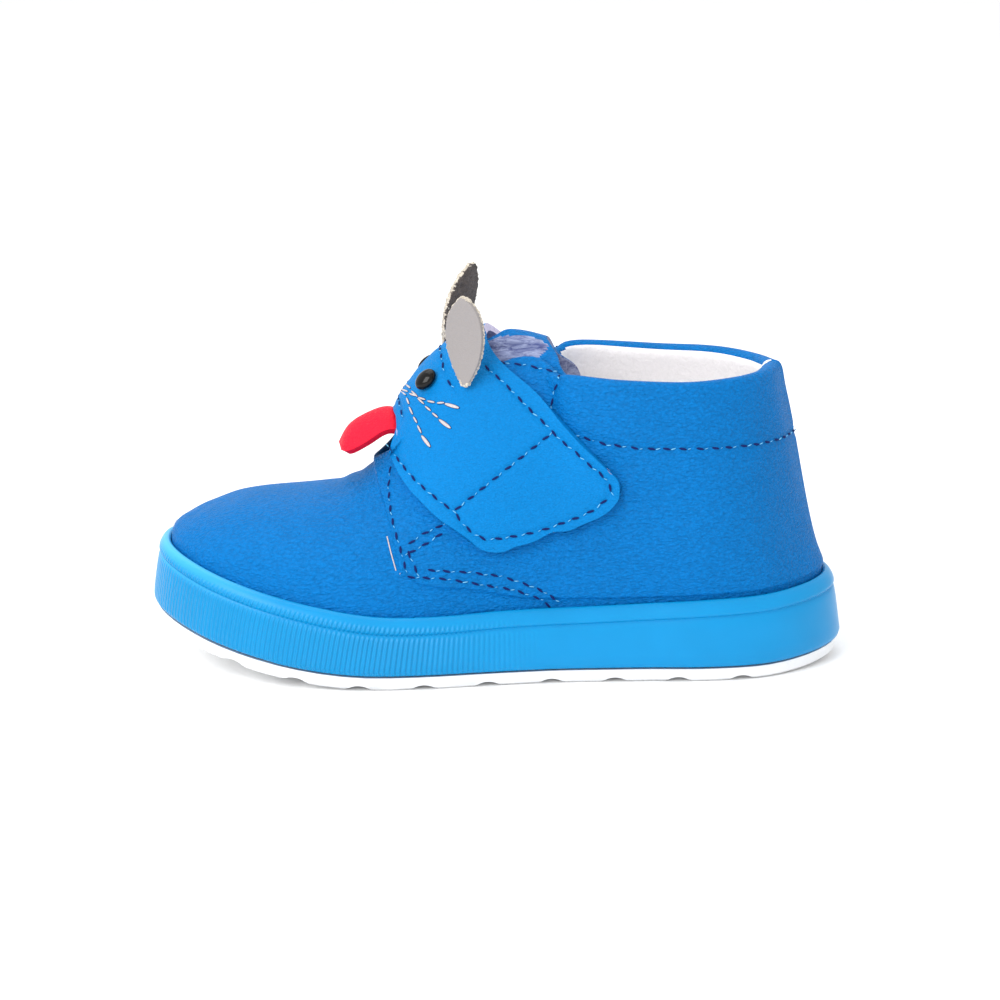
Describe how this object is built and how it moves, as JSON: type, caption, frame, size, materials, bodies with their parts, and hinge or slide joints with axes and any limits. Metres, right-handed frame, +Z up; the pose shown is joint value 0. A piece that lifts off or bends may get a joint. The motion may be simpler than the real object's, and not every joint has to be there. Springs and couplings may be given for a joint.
{
  "type": "kids shoe",
  "caption": "Toddler's low ankle shoe for the left foot in leather, with a rubber cup sole, a wide hook-and-loop strap and an animal's face with ears and a small tongue on the strap.",
  "frame": {"origin": "on the floor under the middle of the shoe, midway between toe and heel and between its two sides", "axes": "-X to the toe, -Y to the outer side of the foot, +Z up"},
  "size_m": [0.15, 0.0656, 0.0833],
  "materials": {
    "outsole_rubber": "matt white rubber",
    "cup_rubber": "smooth blue rubber, a little see-through",
    "insole_cloth": "white lining",
    "upper_leather": "blue grained leather, satin",
    "strap_leather": "blue grained leather, satin",
    "ear_leather": "grey leather, suede on its back",
    "eye_gloss": "glossy black",
    "red_leather": "red leather, satin"
  },
  "bodies": {
    "root": {"outsole": "outsole_rubber", "cup_midsole": "cup_rubber", "insole": "insole_cloth", "upper": "upper_leather", "tongue": "upper_leather", "strap": "strap_leather", "ear_outer": "ear_leather", "ear_inner": "ear_leather", "eye_outer": "eye_gloss", "eye_inner": "eye_gloss", "face_tongue": "red_leather"}
  },
  "joints": []
}
